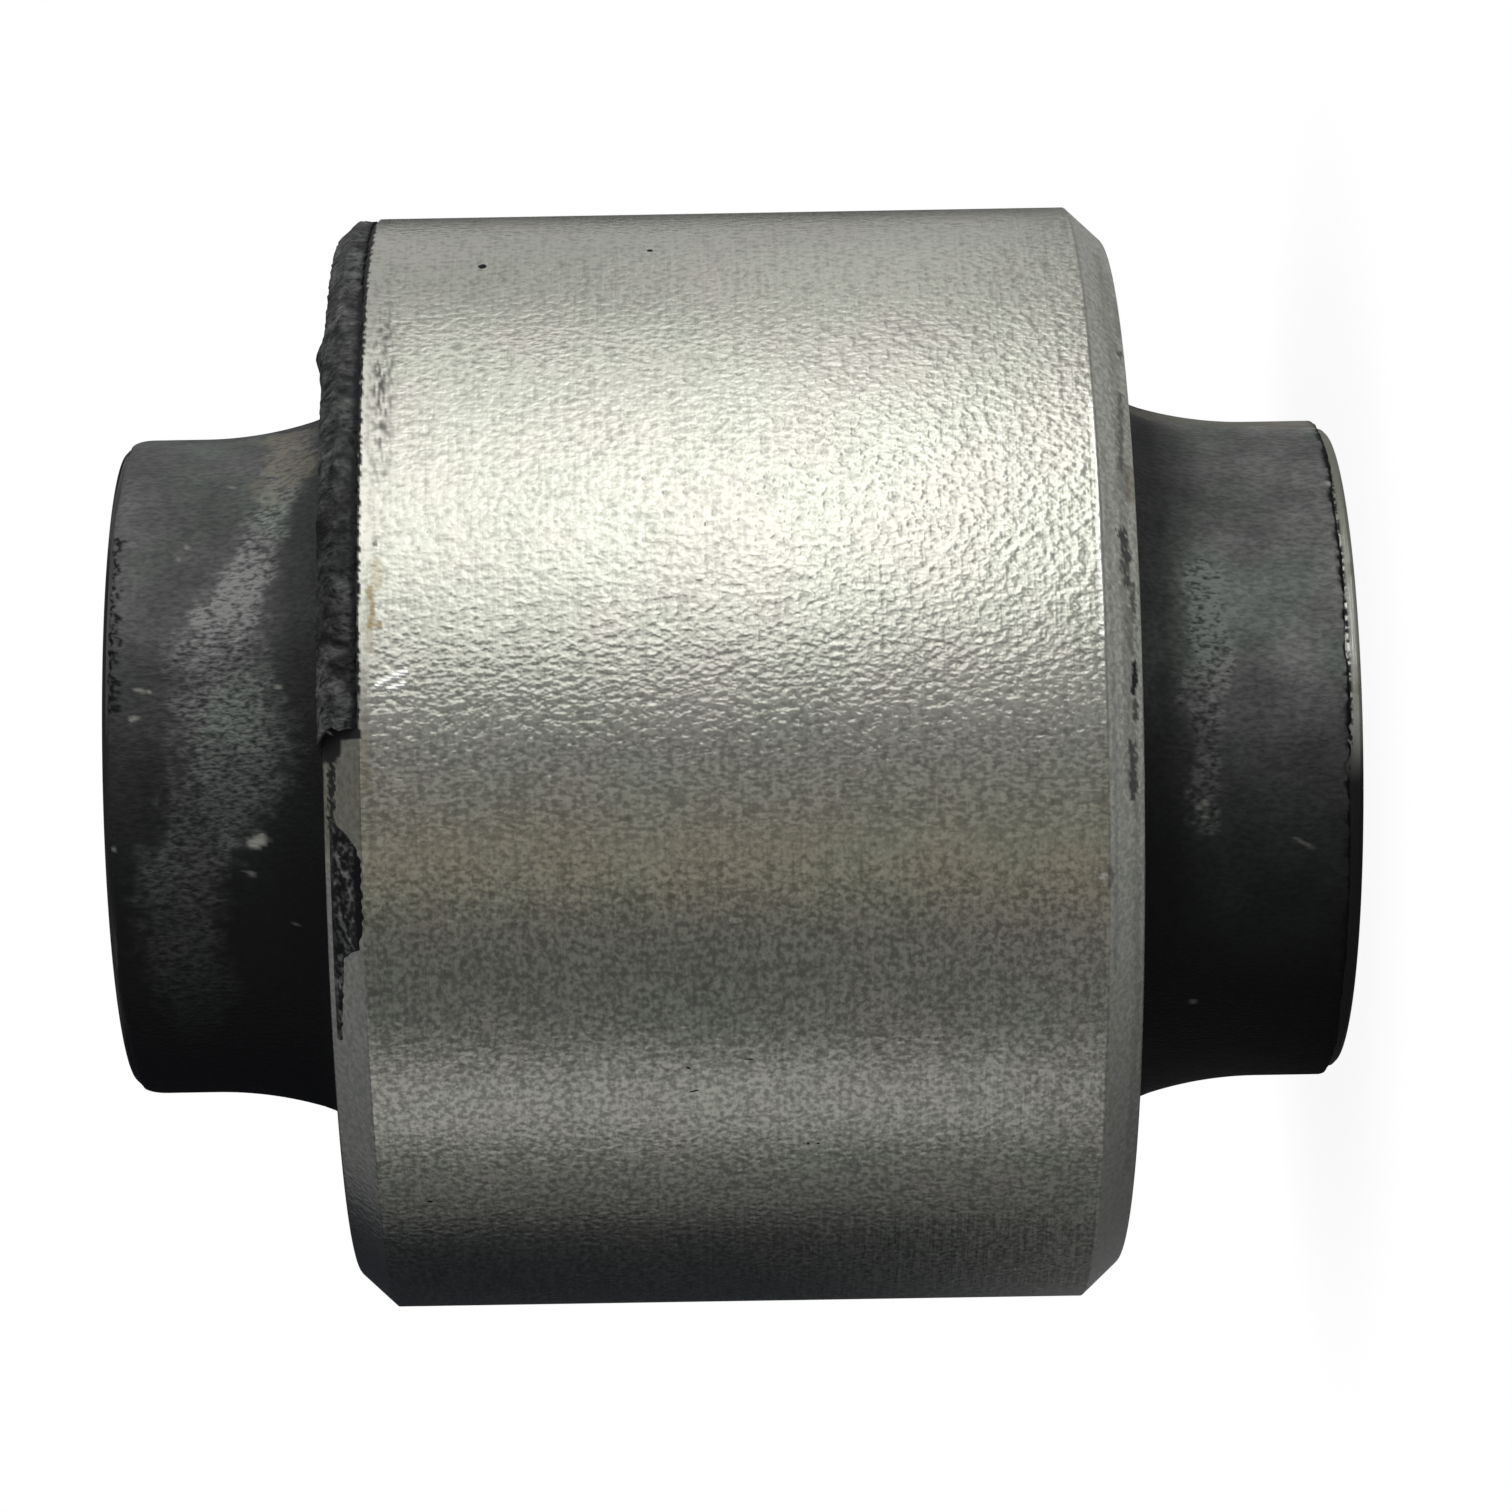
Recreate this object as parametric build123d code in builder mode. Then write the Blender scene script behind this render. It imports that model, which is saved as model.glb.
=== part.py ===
"""Bonded rubber to metal suspension bush.

A steel outer sleeve and a longer steel inner sleeve, joined by one rubber moulding.
The axis is +Z and the bush stands on the lower end of its inner sleeve, at Z = 0.
All sizes are in millimetres.
"""

import os
from math import cos, radians, sin, sqrt

from build123d import *

os.makedirs("parts", exist_ok=True)

# Inner sleeve: a thick tube that the bolt clamps end to end
overall_length = 49.4
inner_diameter = 26.4
bolt_bore = 14.2
bore_chamfer = 0.8
rim_chamfer = 0.15

# Outer sleeve: pressed into its housing
outer_diameter = 45.0
outer_length = 31.0
outer_wall = 3.0
lead_in_length = 1.5
lead_in_depth = 1.4
lead_in_round = 0.35

# Rubber: collars that sheathe the inner sleeve and flare into a groove between the sleeves
collar_diameter = 27.1
steel_proud_bottom = 0.45
steel_proud_top = 0.25
corner_bottom = (0.15, 0.15)
corner_top = (0.8, 0.3)
collar_ends = ((-1, steel_proud_bottom, *corner_bottom), (1, steel_proud_top, *corner_top))
flare_start = 21.5
flare_end = 17.0
flare_radius = 15.4
groove_radius = 3.0

# Flash lip: rubber that ran out over the upper end face and lead-in, and tore off in front
lip_on_face = 0.16
lip_below_outside = 0.05
lip_short_of_outside = 0.2
lip_bevel = 0.75
lip_from = -89.6
lip_sweep = 205.0

# Tear: each point of the torn edge, as its height over the lip's lower edge and its X
tear_depth = 2.6
tear_reach = 1.3
tear_outline = (
    (-1.0, 1.3),
    (0.3, 1.3),
    (0.6, 1.2),
    (0.85, 1.4),
    (1.05, 1.25),
    (1.3, 0.95),
    (2.5, -0.8),
)

# Nib: a bead of rubber on the lip, steep on one side
nib_angle = -41.0
nib_height = 0.36
nib_steep_side = 1.7
nib_gentle_side = 3.0
nib_inside = 19.7
nib_width = 1.5

middle = overall_length / 2
inner_radius = inner_diameter / 2
outer_radius = outer_diameter / 2
sleeve_bore = outer_radius - outer_wall
sleeve_half = outer_length / 2
collar_radius = collar_diameter / 2
lip_top = middle + sleeve_half + lip_on_face
lip_edge = middle + sleeve_half - lead_in_length + lip_short_of_outside
lip_outside = outer_radius - lip_below_outside
tolerance = 0.1

# The gentle flare turns into the groove where both arcs share a tangent
flare_sine = (flare_start - flare_end) / flare_radius
flare_cosine = sqrt(1 - flare_sine**2)
flare_top = collar_radius + flare_radius * (1 - flare_cosine)
groove_centre = flare_top + groove_radius * flare_cosine
groove_mouth = flare_end + groove_radius * flare_sine


def groove_edge(reach):
    """Radius at which the groove's far side climbs to a distance from mid-length."""
    return groove_centre + sqrt(groove_radius**2 - (groove_mouth - reach) ** 2)


def radial_plane(angle):
    """Plane through the axis at an angle from +X, with its x outwards and its y upwards."""
    turn = radians(angle)
    return Plane(origin=(0, 0, 0), x_dir=(cos(turn), sin(turn), 0), z_dir=(sin(turn), -cos(turn), 0))


# Outer sleeve: turned tube with a lead-in and a rounded edge at each end
with BuildPart() as outer_sleeve:
    with BuildSketch(Plane.XY.offset(middle)):
        Circle(outer_radius)
        Circle(sleeve_bore, mode=Mode.SUBTRACT)
    extrude(amount=sleeve_half, both=True)
    rims = outer_sleeve.edges().filter_by(GeomType.CIRCLE)
    outside_rims = rims.filter_by(lambda rim: rim.radius > outer_radius - tolerance)
    chamfer(outside_rims, length=lead_in_length, length2=lead_in_depth)
    rims = outer_sleeve.edges().filter_by(GeomType.CIRCLE)
    lead_in_rims = rims.filter_by(lambda rim: sleeve_bore + tolerance < rim.radius < outer_radius - tolerance)
    fillet(lead_in_rims, lead_in_round)

# Inner sleeve: thick tube with the bolt bore
with BuildPart() as inner_sleeve:
    with BuildSketch():
        Circle(inner_radius)
        Circle(bolt_bore / 2, mode=Mode.SUBTRACT)
    extrude(amount=overall_length)
    rims = inner_sleeve.edges().filter_by(GeomType.CIRCLE)
    chamfer(rims.filter_by(lambda rim: rim.radius < inner_radius - tolerance), bore_chamfer)
    chamfer(rims.filter_by(lambda rim: rim.radius > inner_radius - tolerance), rim_chamfer)

# Rubber body: one moulding that fills the gap, with a collar on each side
with BuildPart() as rubber_body:
    with BuildSketch(radial_plane(0)):
        with BuildLine():
            Line((sleeve_bore, middle - sleeve_half), (sleeve_bore, middle + sleeve_half))
            Line((inner_radius, steel_proud_bottom), (inner_radius, overall_length - steel_proud_top))
            for end, proud, corner_length, corner_depth in collar_ends:
                tip = middle + end * (middle - proud)
                mouth = middle + end * sleeve_half
                Line((sleeve_bore, mouth), (groove_edge(sleeve_half), mouth))
                groove = ThreePointArc(
                    (groove_edge(sleeve_half), mouth),
                    (groove_centre, middle + end * (groove_mouth - groove_radius)),
                    (flare_top, middle + end * flare_end),
                )
                flare = TangentArc(
                    groove @ 1,
                    (collar_radius, middle + end * flare_start),
                    tangent=groove % 1,
                )
                collar = Line(flare @ 1, (collar_radius, tip - end * corner_length))
                corner = TangentArc(
                    collar @ 1,
                    (collar_radius - corner_depth, tip),
                    tangent=collar % 1,
                )
                Line(corner @ 1, (inner_radius, tip))
        make_face()
    revolve(axis=Axis.Z)

    # Flash lip: most of a ring, its underside moulded to the sleeve's end face and lead-in
    with BuildSketch(radial_plane(lip_from)):
        with BuildLine():
            Polyline(
                (groove_edge(sleeve_half), middle + sleeve_half),
                (groove_edge(sleeve_half + lip_on_face), lip_top),
                (lip_outside - lip_bevel, lip_top),
                (lip_outside, lip_top - lip_bevel),
                (lip_outside, lip_edge),
                (sleeve_bore, lip_edge),
                close=True,
            )
        make_face()
    revolve(axis=Axis.Z, revolution_arc=lip_sweep)
    with BuildSketch(Plane.XZ.offset(outer_radius - tear_depth)):
        with BuildLine():
            Polyline(
                (-tear_reach, lip_edge + tear_outline[-1][0]),
                (-tear_reach, lip_edge + tear_outline[0][0]),
                *((across, lip_edge + height) for height, across in tear_outline),
                close=True,
            )
        make_face()
    extrude(amount=2 * tear_depth, mode=Mode.SUBTRACT)

    # Nib: drawn across the lip's face and thickened outwards
    nib_turn = radians(nib_angle)
    nib_plane = Plane(
        origin=(nib_inside * cos(nib_turn), nib_inside * sin(nib_turn), lip_top),
        x_dir=(-sin(nib_turn), cos(nib_turn), 0),
        z_dir=(cos(nib_turn), sin(nib_turn), 0),
    )
    with BuildSketch(nib_plane):
        with BuildLine():
            Polyline(
                (-nib_gentle_side, 0),
                (-nib_gentle_side, -nib_height),
                (nib_steep_side, -nib_height),
                (nib_steep_side, 0),
            )
            Spline((nib_steep_side, 0), (0, nib_height), (-nib_gentle_side, 0))
        make_face()
    extrude(amount=nib_width)
    add(outer_sleeve.part, mode=Mode.SUBTRACT)

outer_sleeve.part.label = "outer_sleeve"
inner_sleeve.part.label = "inner_sleeve"
rubber_body.part.label = "rubber_body"

for piece in (outer_sleeve, inner_sleeve, rubber_body):
    export_step(piece.part, f"parts/{piece.part.label}.step")
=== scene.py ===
"""Looks of a bonded rubber to metal suspension bush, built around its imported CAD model.

The axis is +Z and the bush stands on the lower end of its inner sleeve. Sizes in this file are in
millimetres and are turned into metres as each mesh is made. A turn is the angle round the axis,
from 0 at -Y, growing towards +X. A reach is the distance from mid-length, positive upwards.
"""

from math import asin, cos, pi, radians, sin, sqrt, tan

import bpy
import numpy as np
from mathutils import Matrix, Vector, noise


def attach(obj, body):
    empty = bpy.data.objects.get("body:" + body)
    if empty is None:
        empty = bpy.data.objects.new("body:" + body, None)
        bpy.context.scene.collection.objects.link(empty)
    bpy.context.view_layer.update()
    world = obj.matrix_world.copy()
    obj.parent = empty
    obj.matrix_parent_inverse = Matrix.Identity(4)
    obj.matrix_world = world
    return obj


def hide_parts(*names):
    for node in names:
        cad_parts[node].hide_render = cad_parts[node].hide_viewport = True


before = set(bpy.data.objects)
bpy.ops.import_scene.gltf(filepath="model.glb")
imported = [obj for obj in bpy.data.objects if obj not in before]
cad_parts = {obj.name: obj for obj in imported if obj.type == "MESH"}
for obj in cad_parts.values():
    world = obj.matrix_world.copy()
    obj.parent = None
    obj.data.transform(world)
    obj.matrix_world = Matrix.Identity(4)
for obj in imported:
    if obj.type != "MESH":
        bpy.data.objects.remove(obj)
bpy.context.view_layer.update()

# ---------------------------------------------------------------------------------------------
# Inner sleeve: a thick tube cut from drawn steel, with its ends faced on the lathe so that the
# bracket's ears clamp them. Its outside is roughened and takes the rubber in the mould.
# ---------------------------------------------------------------------------------------------

MM = 0.001
INNER_RADIUS = 13.2
INNER_HALF = 24.7
MIDDLE = INNER_HALF
BOLT_RADIUS = 7.1
BORE_CHAMFER = 0.8
END_CHAMFER = 0.15
RIM_ROUND = 0.05
INNER_STEP = 1.0
INNER_COLUMNS = 480


def turns(columns, crowding=0.0):
    """Angles of the columns of a turned mesh, from the back round, closer together near turn 0."""
    even = np.linspace(-pi, pi, columns, endpoint=False)
    return even - crowding * np.sin(even)


def rounded(corners, arc_steps=6):
    """A closed section from corners of (radius, reach, rounding, step between points after it)."""
    section = []
    ends = []
    for number, (radius, reach, rounding, _) in enumerate(corners):
        here = Vector((radius, reach))
        before = (Vector(corners[number - 1][:2]) - here).normalized()
        after = (Vector(corners[(number + 1) % len(corners)][:2]) - here).normalized()
        if rounding == 0:
            ends.append([here])
            continue
        half = before.angle(after) / 2
        centre = here + (before + after).normalized() * (rounding / sin(half))
        start = here + before * (rounding / tan(half)) - centre
        end = here + after * (rounding / tan(half)) - centre
        ends.append([centre + start.slerp(end, share) * rounding for share in np.linspace(0, 1, arc_steps)])
    for arc, following, (*_, step) in zip(ends, ends[1:] + ends[:1], corners):
        section += arc[:-1]
        pieces = max(1, round((following[0] - arc[-1]).length / step))
        section += [arc[-1].lerp(following[0], share / pieces) for share in range(pieces)]
    return np.array(section)


def place(turn, radius, reach):
    """Positions in metres of points given by turn, radius and reach."""
    return MM * np.stack(
        np.broadcast_arrays(radius * np.sin(turn), -radius * np.cos(turn), reach + MIDDLE), axis=-1
    )


def quads(rows, columns, closed_rows, closed_columns):
    """Faces of a grid of points whose rows, columns or both run round to meet their start."""
    row = np.arange(rows if closed_rows else rows - 1)[:, None]
    column = np.arange(columns if closed_columns else columns - 1)[None, :]
    right = (column + 1) % columns
    below = (row + 1) % rows
    return np.stack(
        [row * columns + column, row * columns + right, below * columns + right, below * columns + column],
        axis=-1,
    ).reshape(-1, 4)


def solid(name, shells):
    """A smooth-shaded mesh object made of shells, each an array of points and one of faces."""
    points = []
    faces = []
    for shell_points, shell_faces in shells:
        faces += (np.asarray(shell_faces) + len(points)).tolist()
        points += shell_points.reshape(-1, 3).tolist()
    mesh = bpy.data.meshes.new(name)
    mesh.from_pydata(points, [], faces)
    mesh.shade_smooth()
    made = bpy.data.objects.new(name, mesh)
    bpy.context.scene.collection.objects.link(made)
    return made


def turned(section, columns, crowding=0.0):
    """The shell of a solid of revolution through a closed section of radii and reaches."""
    points = place(turns(columns, crowding)[None, :], section[:, 0][:, None], section[:, 1][:, None])
    return points, quads(len(section), columns, True, True)


inner_corners = [
    (BOLT_RADIUS, BORE_CHAMFER - INNER_HALF),
    (BOLT_RADIUS + BORE_CHAMFER, -INNER_HALF),
    (INNER_RADIUS - END_CHAMFER, -INNER_HALF),
    (INNER_RADIUS, END_CHAMFER - INNER_HALF),
    (INNER_RADIUS, INNER_HALF - END_CHAMFER),
    (INNER_RADIUS - END_CHAMFER, INNER_HALF),
    (BOLT_RADIUS + BORE_CHAMFER, INNER_HALF),
    (BOLT_RADIUS, INNER_HALF - BORE_CHAMFER),
]
inner_section = rounded([(*corner, RIM_ROUND, INNER_STEP) for corner in inner_corners])
inner_sleeve = solid("bolt_tube", [turned(inner_section, INNER_COLUMNS)])


class Wire:
    """One output of a shader node. Arithmetic on it adds the Math nodes that the sum needs."""

    def __init__(self, finish, socket):
        self.finish = finish
        self.socket = socket

    def maths(self, operation, *values):
        return self.finish.node("ShaderNodeMath", {"operation": operation}, dict(enumerate(values)))

    def __add__(self, other):
        return self.maths("ADD", self, other)

    def __radd__(self, other):
        return self.maths("ADD", other, self)

    def __sub__(self, other):
        return self.maths("SUBTRACT", self, other)

    def __rsub__(self, other):
        return self.maths("SUBTRACT", other, self)

    def __mul__(self, other):
        return self.maths("MULTIPLY", self, other)

    def __rmul__(self, other):
        return self.maths("MULTIPLY", other, self)

    def __truediv__(self, other):
        return self.maths("DIVIDE", self, other)

    def __pow__(self, other):
        return self.maths("POWER", self, other)

    def __or__(self, other):
        """The larger of two masks."""
        return self.maths("MAXIMUM", self, other)

    def __abs__(self):
        return self.maths("ABSOLUTE", self)

    def sine(self):
        """The sine of a turn in degrees: 1 on the +X side, which the lamps light, and -1 opposite."""
        return self.maths("SINE", self * (pi / 180))

    def rise(self, low, high):
        """Goes smoothly from 0 at low to 1 at high, or the other way where low is the larger."""
        return self.finish.node(
            "ShaderNodeMapRange",
            {"interpolation_type": "SMOOTHSTEP"},
            {"Value": self, "From Min": min(low, high), "From Max": max(low, high)}
            | ({"To Min": 1.0, "To Max": 0.0} if low > high else {}),
        )

    def within(self, low, high, soft):
        """1 between low and high, fading to 0 over a width of soft outside each."""
        return self.rise(low - soft, low) * self.rise(high + soft, high)


class Finish:
    """A node material for one finish, with the places on the bush that its marks need."""

    def __init__(self, name, tree=None):
        if tree is None:
            self.material = bpy.data.materials.new(name)
            self.material.use_nodes = True
            tree = self.material.node_tree
        self.tree = tree

    def node(self, kind, settings, inputs, output=0):
        """Adds a node, makes its settings, then sets or links its sockets, and gives one output."""
        made = self.tree.nodes.new(kind)
        for setting, value in settings.items():
            setattr(made, setting, value)
        for socket, value in inputs.items():
            if isinstance(value, Wire):
                self.tree.links.new(value.socket, made.inputs[socket])
            else:
                made.inputs[socket].default_value = value
        return Wire(self, made.outputs[output])

    def blend(self, share, low, high, kind="MIX"):
        """The colour that goes from low to high as share rises, or to low times high for MULTIPLY."""
        return self.node(
            "ShaderNodeMix", {"data_type": "RGBA", "blend_type": kind}, {0: share, 6: low, 7: high}, 2
        )

    def spot(self):
        """Position on the object in millimetres."""
        metres = self.node("ShaderNodeTexCoord", {}, {}, "Object")
        return self.node("ShaderNodeVectorMath", {"operation": "SCALE"}, {0: metres, "Scale": 1 / MM})

    def axis(self, vector, name):
        """The X, Y or Z of a position or a direction."""
        return self.node("ShaderNodeSeparateXYZ", {}, {0: vector}, name)

    def turn(self, spot):
        """The turn of a position, in degrees."""
        x = self.axis(spot, "X")
        return x.maths("ARCTAN2", x, 0 - self.axis(spot, "Y")) * (180 / pi)

    def radius(self, spot):
        """The distance of a position from the bush's axis."""
        x = self.axis(spot, "X")
        y = self.axis(spot, "Y")
        return (x * x + y * y) ** 0.5

    def reach(self, spot):
        """The distance of a position above the bush's mid-length."""
        return self.axis(spot, "Z") - MIDDLE

    def grain(self, spot, stretch, size, detail=2.0, roughness=0.5):
        """Noise whose spots are about size millimetres across, drawn out where stretch is small."""
        scaled = self.node("ShaderNodeVectorMath", {"operation": "MULTIPLY"}, {0: spot, 1: stretch})
        return self.node(
            "ShaderNodeTexNoise",
            {},
            {"Vector": scaled, "Scale": 1 / size, "Detail": detail, "Roughness": roughness},
        )

    def painted(self, name):
        """The amount that was painted on the mesh under this name."""
        return self.node("ShaderNodeAttribute", {"attribute_name": name}, {}, "Fac")

    def bumps(self, height, depth):
        """A normal raised by height, which goes from 0 to 1 over a depth in millimetres."""
        return self.node(
            "ShaderNodeBump", {}, {"Strength": 1.0, "Distance": depth * MM, "Height": height}, "Normal"
        )

    def feed(self, **inputs):
        """Sets or links the sockets of the finish's Principled shader, named with _ for a space."""
        shader = self.tree.nodes["Principled BSDF"]
        for name, value in inputs.items():
            socket = shader.inputs[name.replace("_", " ")]
            if isinstance(value, Wire):
                self.tree.links.new(value.socket, socket)
            else:
                socket.default_value = value


BRIGHT_STEEL = (0.92, 0.93, 0.85, 1)
BRIGHT_STAIN_AND_SHADE = (0.56, 0.56, 0.47, 1)
FACED_STEEL = (0.5, 0.5, 0.46, 1)
FACED_STAIN_AND_SHADE = (0.4, 0.39, 0.34, 1)
SMEAR_AND_SHADE_BLACK = (0.01, 0.01, 0.01, 1)
TURNING_PITCH = 0.12
TURNING_DEPTH = 0.012

inner_steel = Finish("faced_steel")
spot = inner_steel.spot()
turn = inner_steel.turn(spot)
radius = inner_steel.radius(spot)
reach = inner_steel.reach(spot)
clouds = inner_steel.grain(spot, (1, 1, 1), 3.0, 3.0, 0.6)
rings = inner_steel.node("ShaderNodeCombineXYZ", {}, {"X": radius, "Y": reach, "Z": clouds * 0.3})
rings = inner_steel.grain(rings, (1, 1, 1), TURNING_PITCH, 3.0, 0.6)
grit = inner_steel.grain(spot, (1, 1, 1), 0.25)
# Stains lie in clouds, and the +X side is painted darker as well: painted shade that holds back the lamps'
# reflection there.
stain_and_shade = clouds.rise(0.48, 0.66) | turn.sine().rise(0.4, 0.8)
faced = abs(reach).rise(24.5, 24.66) | radius.rise(12.9, 12.6)
steel = inner_steel.blend(
    faced,
    inner_steel.blend(stain_and_shade, BRIGHT_STEEL, BRIGHT_STAIN_AND_SHADE),
    inner_steel.blend(stain_and_shade, FACED_STEEL, FACED_STAIN_AND_SHADE),
)

# The outside is painted black all round at the upper end and on the -X side at the lower one; on the -X side
# this is painted shade. Rubber lies there in flecks beside the collar too.
dark_side_and_end = reach.rise(23.8, 24.0) | turn.sine().rise(0.17, -0.12)
blackened = radius.rise(12.7, 12.9) * dark_side_and_end * clouds.rise(0.05, 0.3)
flecks = reach.rise(-24.38, -24.24) * radius.rise(13.0, 13.1) * (grit * 0.6 + clouds * 0.4).rise(0.44, 0.56)
blackened = blackened | flecks
inner_steel.feed(
    Base_Color=inner_steel.blend(blackened, steel, SMEAR_AND_SHADE_BLACK),
    Metallic=1 - blackened,
    Roughness=0.2 + clouds * 0.12,
    Normal=inner_steel.bumps(rings + grit * 0.7, TURNING_DEPTH),
)
inner_sleeve.data.materials.append(inner_steel.material)
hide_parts("inner_sleeve")
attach(inner_sleeve, "root")

# ---------------------------------------------------------------------------------------------
# Outer sleeve: a turned steel tube with a thin grey phosphate coat, crinkled by the pickling
# bath and brushed round the outside. It is the skin that is pressed into the suspension arm,
# so it has a lead-in at each end. The rubber is bonded to its bore in the mould.
# ---------------------------------------------------------------------------------------------

OUTER_RADIUS = 22.5
SLEEVE_BORE = 19.5
SLEEVE_HALF = 15.5
LEAD_IN_LENGTH = 1.5
LEAD_IN_DEPTH = 1.4
LEAD_IN_ROUND = 0.35
LEAD_IN_START = SLEEVE_HALF - LEAD_IN_LENGTH
SLEEVE_COLUMNS = 740
CROWDING = 0.5

# Marks are painted point by point, so the mesh is fine on the lead-ins and on the skin beside them.
LOWER_FINE = 0.6
UPPER_FINE = 2.2
FINE_STEP = 0.09
FACE_STEP = 0.8
SKIN_STEP = 1.2
BORE_STEP = 2.0

sleeve_section = rounded(
    [
        (SLEEVE_BORE, -SLEEVE_HALF, 0, FACE_STEP),
        (OUTER_RADIUS - LEAD_IN_DEPTH, -SLEEVE_HALF, LEAD_IN_ROUND, FINE_STEP),
        (OUTER_RADIUS, -LEAD_IN_START, RIM_ROUND, FINE_STEP),
        (OUTER_RADIUS, LOWER_FINE - LEAD_IN_START, 0, SKIN_STEP),
        (OUTER_RADIUS, LEAD_IN_START - UPPER_FINE, 0, FINE_STEP),
        (OUTER_RADIUS, LEAD_IN_START, RIM_ROUND, FINE_STEP),
        (OUTER_RADIUS - LEAD_IN_DEPTH, SLEEVE_HALF, LEAD_IN_ROUND, FACE_STEP),
        (SLEEVE_BORE, SLEEVE_HALF, 0, BORE_STEP),
    ]
)
outer_sleeve = solid("sleeve_skin", [turned(sleeve_section, SLEEVE_COLUMNS, CROWDING)])


def spots(made):
    """Turn in degrees, and radius and reach in millimetres, of every point of a mesh."""
    points = np.empty(len(made.data.vertices) * 3, dtype=np.float32)
    made.data.vertices.foreach_get("co", points)
    x, y, z = points.reshape(-1, 3).T / MM
    return np.degrees(np.arctan2(x, -y)), np.hypot(x, y), z - MIDDLE


def paint(made, name, amount):
    """Keeps an amount from 0 to 1 at every point of a mesh, for its finish to read by name."""
    made.data.attributes.new(name, "FLOAT", "POINT").data.foreach_set("value", np.clip(amount, 0, 1))


def roughness_at(turn, radius, reach, size, seed):
    """Noise from -1 to 1 at each point, with spots of about size millimetres."""
    points = place(turn, radius, reach).reshape(-1, 3) / (MM * size)
    values = [noise.noise(Vector(point) + Vector((seed, 0, 0))) for point in points]
    return np.array(values).reshape(np.broadcast(turn, radius, reach).shape)


def stroke(turn, radius, reach, path, half):
    """1 along a path of turns and reaches on a skin, falling to 0 at half a width beside it."""
    away = np.full(turn.shape, half)
    for (turn_a, reach_a), (turn_b, reach_b) in zip(path, path[1:] or path):
        across = np.radians(turn - turn_a) * radius
        along = reach - reach_a
        run_across = radians(turn_b - turn_a) * radius
        run_along = reach_b - reach_a
        length = np.maximum(run_across**2 + run_along**2, 1e-9)
        share = np.clip((across * run_across + along * run_along) / length, 0, 1)
        away = np.minimum(away, np.hypot(across - share * run_across, along - share * run_along))
    return 1 - away / half


def marked(turn, radius, reach, ragged, marks):
    """The darkest of many strokes, each (strength, half width, path), with ragged edges."""
    total = np.zeros(turn.shape)
    for strength, half, path in marks:
        line = stroke(turn, radius, reach, path, half)
        total = np.maximum(total, strength * np.clip((line + ragged * (line > 0)) * 2.2, 0, 1))
    return total


def hump(value, middle, half):
    """A smooth hump: 1 at a middle turn or reach, and 0 from half a width away on."""
    return (1 - np.minimum(np.abs(value - middle) / half, 1) ** 2) ** 2


# Each mark is a strength, half a width and a path of turns and reaches. Grime is rubber that the
# moulding smeared on the lead-ins and beside the lip. There is a little rust, mostly near the
# tear, and tools left bright scratches.
GRIME = [
    (0.6, 0.1, [(21.8, 13.39), (21.5, 13.39)]),
    (0.35, 0.35, [(62.4, -15.24), (51.6, -14.86), (46.8, -14.89)]),
    (0.4, 0.25, [(56.9, -15.33), (49.8, -15.3)]),
    (0.8, 0.12, [(47.0, -15.34), (45.8, -15.27)]),
    (0.75, 0.14, [(39.9, -15.2), (33.6, -15.02), (29.6, -14.93)]),
    (0.45, 0.25, [(30.4, -15.07), (26.4, -15.07)]),
    (0.9, 0.26, [(22.4, -14.85), (21.0, -14.95), (19.4, -15.0)]),
    (0.85, 0.2, [(19.9, -14.92), (18.3, -14.9), (16.7, -15.0)]),
    (0.8, 0.15, [(17.1, -15.16), (14.4, -15.22)]),
    (0.6, 0.3, [(14.1, -15.02), (10.4, -15.05)]),
    (0.4, 0.3, [(66.0, -14.9), (40.0, -15.0), (16.0, -14.85), (-4.0, -14.95)]),
    (0.3, 0.12, [(30.0, -14.3), (4.0, -14.3), (-22.0, -14.3)]),
    (0.3, 0.2, [(-4.0, -15.1), (-24.0, -15.2), (-50.0, -15.1)]),
    (1.0, 0.2, [(1.8, 15.12), (0.4, 15.08)]),
    (1.0, 0.22, [(0.4, 15.12), (-2.6, 15.15), (-6.4, 15.2)]),
    (1.0, 0.15, [(9.0, -15.15), (7.1, -15.17), (5.7, -15.08)]),
    (0.85, 0.15, [(4.8, -15.15), (3.1, -15.13)]),
    (0.85, 0.2, [(0.7, -14.99), (-2.5, -15.01), (-4.8, -15.0)]),
    (0.6, 0.12, [(-11.1, -14.05), (-12.3, -14.13), (-13.1, -14.01)]),
]
RUST = [
    (0.4, 0.3, [(19.5, 13.31), (17.4, 13.31)]),
    (0.8, 0.16, [(16.9, 13.57), (14.4, 13.46), (13.7, 13.49)]),
    (0.9, 0.14, [(13.3, 13.6), (13.3, 13.2)]),
    (0.25, 0.25, [(13.1, 13.61), (10.9, 13.57)]),
    (0.3, 0.2, [(2.7, 13.8), (-2.6, 13.75)]),
    (0.5, 0.2, [(30.3, -15.31), (26.8, -15.24)]),
]
SCRATCHES = [
    (1.0, 0.13, [(7.4, 13.28), (8.1, 12.79), (8.6, 12.26)]),
    (0.9, 0.1, [(7.0, 12.91), (7.6, 12.3)]),
    (0.7, 0.1, [(-12.2, -13.71), (-12.0, -13.9)]),
    (0.5, 0.1, [(37.0, -13.95), (28.0, -13.99), (20.0, -13.94), (11.0, -13.97)]),
]

turn, radius, reach = spots(outer_sleeve)
round_turn = np.radians(turn)
ragged = 0.9 * roughness_at(round_turn, radius, reach, 0.16, 2.0)
blotchy = roughness_at(round_turn, radius, reach, 0.9, 6.0)

# On the lower lead-in, blotches of grime take over where the marks above end.
MARKED_TURN = 30
MARKED_HALF = 115
BLOTCHED_REACH = -15.1
BLOTCHED_HALF = 0.25
away = np.minimum(np.abs(turn - MARKED_TURN), 360 - np.abs(turn - MARKED_TURN))
blotched = (away > MARKED_HALF) * (np.abs(reach - BLOTCHED_REACH) < BLOTCHED_HALF)
blotches = np.clip((blotchy + ragged - 0.35) * 3, 0, 1) * blotched
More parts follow.
